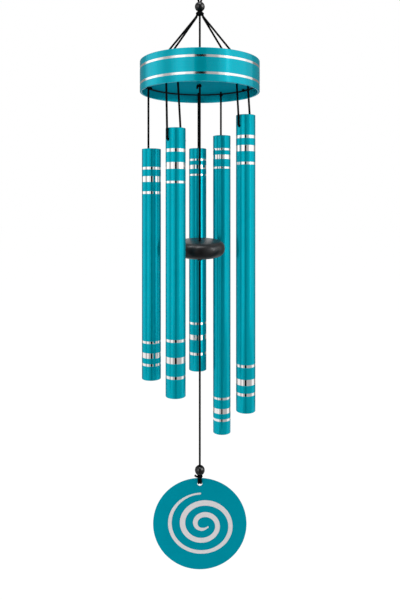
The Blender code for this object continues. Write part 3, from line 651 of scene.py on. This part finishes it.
# Tube cords
# Tubes a, c and d hang on one strand of the braid, which goes into the open top and is tied round the pin;
# its other end is a knot on the plate. Tubes b and e hang on two, an outer one in by the near eye and an
# inner one out by the far eye, each with a stopper knot; a stitch over the plate joins them.
SEAT_GAP = 0.0003
SWING_GAP = 0.0011         # under a cord end in the plate, where the strand below it swings
RIM_GAP = 0.001            # above a tube's top, where its outer strand turns upright
TUBE_CORD_BEND = 0.0012
STOPPER_KNOT = Knot(0.0042, 0.0036, 3, 0.0006)
INNER_KNOT = Knot(0.0034, 0.0026, 3, 0.0004)
UNDER_KNOT = Knot(0.0037, 0.0042, 3, 0.0005)
UNDER_KNOT_DROP = 0.0031   # plate to the middle of the knots that keep the strands of a and d from riding up
for name, (top, length, bands) in TUBES.items():
    body = "tube_" + name
    bearing, strands = STRANDS[name]
    hang = round_axis(TUBE_CIRCLE_R, bearing, HANG_Z)
    # heights from here on are above the point that the strand hangs from
    hole_z = top - HOLE_DROP - HANG_Z
    seat_z = PLATE_TOP_Z - HANG_Z + SEAT_GAP
    if name in "be":
        outer_x, inner_x = strands
        eye = Vector((0, 0, hole_z))
        bend = CORD_R + SEAT_GAP
        stop = math.sqrt(TUBE_INNER_R ** 2 - (STOPPER_KNOT.width / 2) ** 2) - SEAT_GAP
        leg = TUBE_R + bend
        down = [(leg, top - HANG_Z + RIM_GAP), (leg, hole_z + 2 * bend), (leg, hole_z + bend)]
        down += corner(TUBE_R, hole_z + bend, bend, -15, -90, steps=5) + [(stop + SEAT_GAP, hole_z)]
        route = [hang + Vector((outer_x, 0, 0))]
        route += [hang + ACROSS * t + Vector((0, 0, z)) for t, z in down]
        knot = wound(STOPPER_KNOT, hang + ACROSS * (stop - STOPPER_KNOT.height / 2) + eye, ACROSS)
        lay_cord("outer_tie_" + name, knot, body, "outer_knot_" + name)
        down = [(TUBE_INNER_R - bend, hole_z + bend)]
        down += corner(TUBE_INNER_R, hole_z + bend, bend, 195, 270, steps=5) + [(TUBE_R, hole_z)]
        inside = [hang + Vector((inner_x, 0, 0))]
        inside += [hang - ACROSS * t + Vector((0, 0, z)) for t, z in down]
        inside = stepped(eased(inside, TUBE_CORD_BEND), CORD_STEP)
        lay_cord("tube_inner_braid_" + name, inside, body, "tube_inner_cord_" + name)
        behind = TUBE_R + SEAT_GAP + INNER_KNOT.height / 2
        knot = wound(INNER_KNOT, hang - ACROSS * behind + eye, ACROSS)
        lay_cord("inner_tie_" + name, knot, body, "inner_knot_" + name)
        over_plate = [(outer_x, SWING_GAP), (outer_x, seat_z + CORD_R)]
        over_plate += [(inner_x, seat_z + CORD_R), (inner_x, SWING_GAP)]
        stitch = eased([hang + Vector((x, 0, z)) for x, z in over_plate], CORD_R)
        lay_cord("stitch_" + name, stitch, "canopy", "tube_stitch_" + name)
    else:
        turn = PIN_R + CORD_R + SEAT_GAP
        bow = [(0, 0), (0, hole_z + 3.2 * turn), (0.35 * turn, hole_z + 2.4 * turn)]
        bow += [(0.8 * turn, hole_z + 1.5 * turn)]
        bow += corner(0, hole_z, turn, 0, -180, steps=12)
        bow += [(-turn, hole_z + 1.6 * turn)]
        hang.x += strands[0]
        route = [hang + Vector((0, y, z)) for y, z in bow]
        middle = seat_z + STOPPER_KNOT.height / 2
        knot = wound(STOPPER_KNOT, hang + Vector((0, 0, middle)))
        knot += [hang + Vector((0, 0, z)) for z in (middle, seat_z, SWING_GAP)]
        lay_cord("plate_tie_" + name, knot, "canopy", "tube_knot_" + name)
        if name in "ad":
            knot = wound(UNDER_KNOT, hang - Vector((0, 0, UNDER_KNOT_DROP)))
            lay_cord("under_tie_" + name, knot, body)
    route = stepped(eased(route, TUBE_CORD_BEND), CORD_STEP)
    lay_cord("tube_braid_" + name, route, body, "tube_cord_" + name)

# Striker
# A turned wooden disc with a full round edge, lacquered satin black. It hangs at mid height of the tubes on
# a braid of its own, which is knotted under the plate and again under the disc, and it rests a little askew.
STRIKER_R = 0.0254
STRIKER_H = 0.0156
STRIKER_ROUND = 0.0074
STRIKER_CREASE = 76        # degrees up the round edge, where the top face cuts it off
STRIKER_STEPS = 96
STRIKER_TILT = math.radians(6.4)
STRIKER_Z = -0.2918        # its middle
STRIKER_BORE_R = 0.00213
STRIKER_MOUTH = 0.0004     # how far the bore's edges are broken
STRIKER_LOW_Z = STRIKER_Z - STRIKER_H / 2 / math.cos(STRIKER_TILT)
STRIKER_KNOT = Knot(0.0054, 0.0044, 3, 0.0006)
STRIKER_CORD_STEP = 0.005
CENTRE_KNOT = Knot(0.0037, 0.0036, 3, 0.0005)
CENTRE_TAIL = ((-0.0022, -0.0010, -0.1257), (-0.0026, -0.0011, -0.1268), (-0.0026, -0.0011, -0.1294))

# Lacquered wood is a soft black with a dull gleam. Open grain runs along X under the lacquer.
GRAIN_MM = (8.3, 0.4, 0.4)
lacquer, lacquer_shader = new_material("black_lacquered_wood", Specular_IOR_Level=0.26)
place = add(lacquer, "ShaderNodeTexCoord", {}).outputs["Object"]
stretch = add(lacquer, "ShaderNodeMapping", {"Vector": place, "Scale": [1000 / mm for mm in GRAIN_MM]})
pores = add(lacquer, "ShaderNodeTexNoise", {"Vector": stretch.outputs[0], "Scale": 1.0, "Detail": 4.0})
ramp = add(lacquer, "ShaderNodeValToRGB", {"Fac": pores.outputs["Fac"]})
ramp.color_ramp.elements[0].position = 0.3
ramp.color_ramp.elements[0].color = linear("#050506")
ramp.color_ramp.elements[1].position = 0.7
ramp.color_ramp.elements[1].color = linear("#0E0E0F")
dull = add(lacquer, "ShaderNodeMapRange", {"Value": pores.outputs["Fac"], "To Min": 0.28, "To Max": 0.4})
relief = add(
    lacquer, "ShaderNodeBump", {"Height": pores.outputs["Fac"], "Strength": 0.15, "Distance": 0.0001})
into(lacquer, lacquer_shader, Base_Color=ramp.outputs["Color"], Roughness=dull.outputs[0],
     Normal=relief.outputs["Normal"])
half = STRIKER_H / 2
profile = [(STRIKER_BORE_R, half - STRIKER_MOUTH), (STRIKER_BORE_R + STRIKER_MOUTH, half)]
crease_z = STRIKER_ROUND * math.sin(math.radians(STRIKER_CREASE))
profile += corner(STRIKER_R - STRIKER_ROUND, half - crease_z, STRIKER_ROUND, STRIKER_CREASE, 0, steps=12)
profile += corner(STRIKER_R - STRIKER_ROUND, STRIKER_ROUND - half, STRIKER_ROUND, 0, -90, steps=12)
profile += [(STRIKER_BORE_R + STRIKER_MOUTH, -half), (STRIKER_BORE_R, STRIKER_MOUTH - half)]
bm = spun(profile, STRIKER_STEPS)
bmesh.ops.rotate(bm, verts=bm.verts, cent=(0, 0, 0), matrix=Matrix.Rotation(STRIKER_TILT, 3, "X"))
mesh = to_mesh("striker_disc", bm, (0, 0, STRIKER_Z), lacquer)
as_piece("striker_disc", mesh, "striker", ["striker"])
knot = wound(CENTRE_KNOT, (0, 0, HANG_Z - CENTRE_KNOT.height / 2))
knot += [Vector(point) for point in CENTRE_TAIL]
lay_cord("centre_tie", knot, "striker_hinge", "centre_knot")
cord_top = HANG_Z - CENTRE_KNOT.height - SEAT_GAP
route = stepped([(0, 0, cord_top), (0, 0, STRIKER_LOW_Z)], STRIKER_CORD_STEP)
lay_cord("striker_braid", route, "striker", "striker_cord")
knot = wound(STRIKER_KNOT, (0, 0, STRIKER_LOW_Z - SEAT_GAP - STRIKER_KNOT.height / 2))
lay_cord("striker_tie", knot, "striker", "striker_knot")

# Sail line
# The same braid goes on down from the striker's knot to a second bead of the black acrylic, which sits on
# the sail's own knot.
SAIL_CORD_TOP_Z = -0.304649
SAIL_CORD_LOW_Z = -0.5224
SAIL_CORD_STEP = 0.006
SAIL_BEAD_Z = -0.5178
route = stepped([(0, 0, SAIL_CORD_TOP_Z), (0, 0, SAIL_CORD_LOW_Z)], SAIL_CORD_STEP)
lay_cord("sail_braid", route, "sail_line", "sail_cord")
thread_bead("sail_bead_ball", SAIL_BEAD_Z, "sail_line", "sail_bead")

# Sail
# A disc cut from thin aluminium sheet, anodised teal, with a spiral etched through the colour. Two strands
# through a hole at its top tie it to the knot under the bead, and one cut end sticks out.
SAIL_W = 0.0952
SAIL_H = 0.0926
SAIL_T = 0.0015
SAIL_EDGE = 0.0003
SAIL_STEPS = 192
SAIL_Z = -0.5722
SAIL_HOLE_Z = -0.53145
SAIL_HOLE_R = 0.00255
SAIL_KNOT_Z = -0.52405
SAIL_KNOT = Knot(0.0058, 0.0027, 3, 0.0007)
SAIL_TAIL = ((-0.0022, -0.0012, 0), (-0.0038, -0.0014, 0.0007), (-0.0051, -0.0015, 0.0017))
SAIL_STRAND_R = 1.02 * STRAND_X
SPIRAL_X = 0.0035
SPIRAL_Z = -0.0006
SPIRAL_R = 0.0374
SPIRAL_PITCH = 0.01325
SPIRAL_TURNS = 2.65
SPIRAL_START = math.radians(5)
SPIRAL_SQUASH = 0.90
START_CURL = 0.0022        # how far the outer end curls in
END_CURL = 0.0033          # how far the inner end curls out
CURL_TURNS = 0.12
SPIRAL_DEPTH = 0.0003
STROKE_STEPS = 220
TIP_STEPS = 8
# The stroke's width at even steps along it, from its outer end.
STROKE_W = (0.0018, 0.0038, 0.0036, 0.0044, 0.0055, 0.0055,
            0.0050, 0.0048, 0.0051, 0.0048, 0.0032, 0.0016)

# Rolled sheet has fine marks along X, 0.7 mm apart. Its two teals are darker than the tubes' teal: painted
# shade, standing in for the dark that its flat face reflects.
teal_sail_painted_shade = teal_anodised("teal_anodised_aluminium_sheet", ("#0092A7", "#0099AE"), (60, 0.7, 0.7),
                          metallic=0.3, dullness=0.4, gloss=0.0)

# Etched aluminium is a matt pale grey with a fine sparkle, drawn at 0.5 mm so that it shows.
GRIT_MM = 0.5
etched, etched_shader = new_material("etched_aluminium", Metallic=0.5)
place = add(etched, "ShaderNodeTexCoord", {}).outputs["Object"]
grit = add(etched, "ShaderNodeTexNoise", {"Vector": place, "Scale": 1000 / GRIT_MM, "Detail": 3.0})
ramp = add(etched, "ShaderNodeValToRGB", {"Fac": grit.outputs["Fac"]})
ramp.color_ramp.elements[0].position = 0.3
ramp.color_ramp.elements[0].color = linear("#E4E1E2")
ramp.color_ramp.elements[1].position = 0.7
ramp.color_ramp.elements[1].color = linear("#F8F5F6")
dull = add(etched, "ShaderNodeMapRange", {"Value": grit.outputs["Fac"], "To Min": 0.5, "To Max": 0.7})
relief = add(etched, "ShaderNodeBump", {"Height": grit.outputs["Fac"], "Strength": 0.2, "Distance": 0.00005})
into(etched, etched_shader, Base_Color=ramp.outputs["Color"], Roughness=dull.outputs[0],
     Normal=relief.outputs["Normal"])


def stroke_middle(t):
    """The middle of the spiral's stroke, t from 0 at its outer end to 1 at its inner end."""
    turns = SPIRAL_TURNS * t
    r = SPIRAL_R - SPIRAL_PITCH * turns - START_CURL * math.exp(-turns / CURL_TURNS)
    r += END_CURL * math.exp((turns - SPIRAL_TURNS) / CURL_TURNS)
    angle = SPIRAL_START + math.tau * turns
    return Vector((-r * math.sin(angle), SPIRAL_SQUASH * r * math.cos(angle)))


def stroke_width(t):
    """The stroke's width, eased between the widths along it."""
    at = min(t * (len(STROKE_W) - 1), len(STROKE_W) - 1.000001)
    k = int(at)
    u = (at - k) ** 2 * (3 - 2 * (at - k))
    return STROKE_W[k] * (1 - u) + STROKE_W[k + 1] * u


def stroke_across(t):
    """The stroke's heading, and the way from its middle to its outer edge."""
    heading = (stroke_middle(min(t + 0.001, 1)) - stroke_middle(max(t - 0.001, 0))).normalized()
    return heading, Vector((-heading.y, heading.x)) * stroke_width(t) / 2


def stroke_tip(t, sense):
    """A half round end of the stroke, from its outer edge to its inner edge."""
    heading, aside = stroke_across(t)
    ahead = heading * sense * aside.length
    angles = [math.radians(180 / TIP_STEPS * k) for k in range(1, TIP_STEPS)]
    return [stroke_middle(t) + aside * math.cos(a) + ahead * math.sin(a) for a in angles]


def thicken(bm, vec):
    """Draws every face of a flat shape out into a solid."""
    grown = bmesh.ops.extrude_face_region(bm, geom=bm.faces[:])["geom"]
    bmesh.ops.translate(bm, verts=[v for v in grown if isinstance(v, bmesh.types.BMVert)], vec=vec)


outer, inner = [], []
for k in range(STROKE_STEPS + 1):
    t = k / STROKE_STEPS
    aside = stroke_across(t)[1]
    outer.append(stroke_middle(t) + aside)
    inner.append(stroke_middle(t) - aside)
outline = outer + stroke_tip(1, 1) + inner[::-1] + stroke_tip(0, -1)[::-1]
groove = bmesh.new()
floor_y = -SAIL_T / 2 - SPIRAL_DEPTH
edges = ring_of(groove, [(SPIRAL_X + p.x, floor_y, SAIL_Z + SPIRAL_Z + p.y) for p in outline])[1]
bmesh.ops.triangle_fill(groove, edges=edges, use_beauty=True)
thicken(groove, (0, 2 * SPIRAL_DEPTH, 0))

bm = bmesh.new()
bmesh.ops.create_circle(bm, cap_ends=True, segments=SAIL_STEPS, radius=1)
bmesh.ops.scale(bm, verts=bm.verts, vec=(SAIL_W / 2, SAIL_H / 2, 1))
thicken(bm, (0, 0, SAIL_T))
soften_ends(bm, SAIL_EDGE)
bmesh.ops.translate(bm, verts=bm.verts, vec=(0, 0, -SAIL_T / 2))
bmesh.ops.rotate(bm, verts=bm.verts, cent=(0, 0, 0), matrix=Matrix.Rotation(math.pi / 2, 3, "X"))
bmesh.ops.recalc_face_normals(bm, faces=bm.faces)
mesh = to_mesh("sail_disc", bm, (0, 0, SAIL_Z), teal_sail_painted_shade)
drill = bmesh.new()
rod(drill, SAIL_HOLE_R, 4 * SAIL_T, (0, 0, SAIL_HOLE_Z), (0, 1, 0), 40)
mesh = cut(mesh, drill, teal_sail_painted_shade)
mesh = cut(mesh, groove, etched)
as_piece("sail_disc", mesh, "sail", ["sail"])

knot = wound(SAIL_KNOT, (0, 0, SAIL_KNOT_Z))
knot += [Vector((x, y, SAIL_KNOT_Z + z)) for x, y, z in SAIL_TAIL]
lay_cord("sail_tie_knot", knot, "sail", "sail_knot")
leg = SAIL_T / 2 + CORD_R + SEAT_GAP
low = math.sqrt((SAIL_HOLE_R - CORD_R - SEAT_GAP) ** 2 - STRAND_X ** 2)
top = SAIL_KNOT_Z - SAIL_KNOT.height / 2 - SEAT_GAP - SAIL_HOLE_Z
bow = [(-leg, top), (-leg, low + leg)] + corner(0, low + leg, leg, -165, -15, steps=12)
bow += [(leg, low + leg), (leg, top)]
for side, x in (("left", -STRAND_X), ("right", STRAND_X)):
    strand = [(x, y, SAIL_HOLE_Z + z) for y, z in bow]
    lay_cord("sail_strand_" + side, strand, "sail", "sail_tie_" + side, radius=SAIL_STRAND_R)

# Studio
# A pale floor under the hanging chime, a pale surround, four soft boxes and one overhead, and grey cards
# that only reflections see, which keep the polished bands from going blank.
FLOOR_Z = -0.75
AIM_Z = -0.3               # the height that the lamps are aimed at
WHITE = linear("#FFFFFF")


def by_ray(material):
    """1 for the rays that look at the background, and 0 for those that light the object."""
    rays = add(material, "ShaderNodeLightPath", {})
    seen = add(material, "ShaderNodeMath",
               {0: rays.outputs["Is Camera Ray"], 1: rays.outputs["Is Glossy Ray"]}, operation="MAXIMUM")
    return add(material, "ShaderNodeMath",
               {0: seen.outputs[0], 1: rays.outputs["Is Transmission Ray"]}, operation="MAXIMUM").outputs[0]


world = bpy.data.worlds.new("pale_studio")
bpy.context.scene.world = world
world.use_nodes = True
strength = add(world, "ShaderNodeMapRange", {"Value": by_ray(world), "To Min": 0.8, "To Max": 1.0})
surround = world.node_tree.nodes["Background"]
surround.inputs["Color"].default_value = WHITE
world.node_tree.links.new(strength.outputs[0], surround.inputs["Strength"])

floor_paint, floor_shader = new_material("pale_floor", Roughness=0.9, Specular_IOR_Level=0.0,
                                         Emission_Color=WHITE)
seen = by_ray(floor_paint)
coat = add(floor_paint, "ShaderNodeMix", {"Factor": seen, "A": linear("#F0F0F0"), "B": linear("#9C9C9C")},
           data_type="RGBA")
lift = add(floor_paint, "ShaderNodeMath", {0: seen, 1: 0.735}, operation="MULTIPLY")
into(floor_paint, floor_shader, Base_Color=coat.outputs["Result"], Emission_Strength=lift.outputs[0])
bm = bmesh.new()
bmesh.ops.create_circle(bm, cap_ends=True, segments=64, radius=12)
floor = bpy.data.objects.new("floor", to_mesh("floor", bm, (0, 0, FLOOR_Z), floor_paint))
bpy.context.scene.collection.objects.link(floor)


def stand_card(name, bm, level):
    """A card of an even brightness that only reflections see."""
    stock = new_material(name, Base_Color=linear("#000000"), Specular_IOR_Level=0.0, Emission_Color=WHITE,
                         Emission_Strength=level)[0]
    card = bpy.data.objects.new(name, to_mesh(name, bm, (0, 0, 0), stock))
    bpy.context.scene.collection.objects.link(card)
    card.visible_camera = False
    card.visible_diffuse = False
    card.visible_transmission = False
    card.visible_shadow = False


# Cards stand in rings, by their bearings to the right of the camera, distance and brightness.
CARD_Z = FLOOR_Z + 0.01
CARD_H = 1.3
CARD_STEPS = 8
for name, first, last, away, level in (
        ("slit", -9, 11, 0.45, 0.0), ("right_front", 11, 34, 0.78, 0.5), ("left_front", -70, -52, 0.78, 0.55),
        ("right_back", 114, 170, 0.78, 0.25), ("left_back", -170, -120, 0.78, 0.3)):
    bearings = [first + (last - first) * k / CARD_STEPS for k in range(CARD_STEPS + 1)]
    bm = bmesh.new()
    foot = [bm.verts.new(round_axis(away, bearing - 90, CARD_Z)) for bearing in bearings]
    edges = [bm.edges.new(ends) for ends in zip(foot, foot[1:])]
    grown = bmesh.ops.extrude_edge_only(bm, edges=edges)["geom"]
    bmesh.ops.translate(bm, verts=[v for v in grown if isinstance(v, bmesh.types.BMVert)], vec=(0, 0, CARD_H))
    stand_card("card_" + name, bm, level)

# A grey sheet lies low in front and to the right, for the lower bands.
SHEET_R = 1.9
SHEET_Z = FLOOR_Z + 0.006
bm = bmesh.new()
rim = [bm.verts.new(round_axis(SHEET_R, bearing - 90, SHEET_Z)) for bearing in range(-32, 74, 5)]
bm.faces.new([bm.verts.new((0, 0, SHEET_Z))] + rim)
stand_card("card_low", bm, 0.5)


def soft_box(name, at, wide, tall, level):
    """A soft box aimed at the chime, as bright as its level whatever its size."""
    box = bpy.data.lights.new(name, "AREA")
    box.shape = "RECTANGLE"
    box.size = wide
    box.size_y = tall
    box.energy = level * math.pi * wide * tall
    lamp = bpy.data.objects.new(name, box)
    lamp.location = at
    aim = Vector((0, 0, AIM_Z)) - lamp.location
    lamp.rotation_euler = aim.to_track_quat("-Z", "Y").to_euler()
    bpy.context.scene.collection.objects.link(lamp)
    return lamp


# Soft boxes, by bearing to the right of the camera, distance, height, width, length and brightness.
for name, bearing, away, z, wide, tall, level in (
        ("right", 72, 1.6, -0.05, 1.3, 1.5, 0.34), ("strip", 52, 1.55, -0.05, 0.17, 1.5, 1.2),
        ("left", -36, 1.6, -0.05, 0.5, 1.5, 0.5), ("left_back", -100, 1.6, -0.05, 0.8, 1.5, 0.45),
        ("top", 0, 0.2, 1.1, 0.7, 0.7, 1.6)):
    soft_box("soft_box_" + name, round_axis(away, bearing - 90, z), wide, tall, level)

# Small boxes a metre away light the beads alone, the striker alone or the back tube alone, and give them
# their highlights; no other piece shades them. Each has its bearing, height in degrees, size and brightness.
GLOSS_BOXES = {
    "beads": (("top_bead_ball", "sail_bead_ball"),
              ((68, 22, 0.8, 9.5), (-54, 10, 0.8, 6.0), (0, 67, 0.6, 7.0))),
    "striker": (("striker_disc",), ((80, 22, 0.6, 11.0), (-40, 73, 0.6, 13.0))),
    "back_tube": (("tube_c_pipe",), ((57, -5, 0.6, 1.5),)),
}
for name, (pieces, boxes) in GLOSS_BOXES.items():
    lit = bpy.data.collections.new("lit_" + name)
    for piece in pieces:
        lit.objects.link(bpy.data.objects[piece])
    for number, (bearing, height, size, level) in enumerate(boxes):
        rise = math.radians(height)
        at = round_axis(math.cos(rise), bearing - 90, math.sin(rise) + AIM_Z)
        lamp = soft_box("gloss_box_%s_%d" % (name, number), at, size, size, level)
        lamp.light_linking.receiver_collection = lit
        lamp.light_linking.blocker_collection = lit

# The camera looks level, with its frame shifted down, as the upright tubes in the photograph ask.
FRAME_H = 600              # the frame's height in pixels
HORIZON_Y = 205            # the camera's own height in the frame, in pixels from its top
lens = bpy.data.cameras.new("camera")
lens.sensor_fit = "VERTICAL"
lens.sensor_width = 36
lens.sensor_height = 36
lens.lens = 36
lens.shift_y = (HORIZON_Y - FRAME_H / 2) / FRAME_H
camera = bpy.data.objects.new("camera", lens)
camera.location = (0.0002, -0.6114, -0.2476)
camera.rotation_euler = (math.pi / 2, 0, 0)
bpy.context.scene.collection.objects.link(camera)
bpy.context.scene.camera = camera
bpy.context.scene.view_settings.view_transform = "Standard"
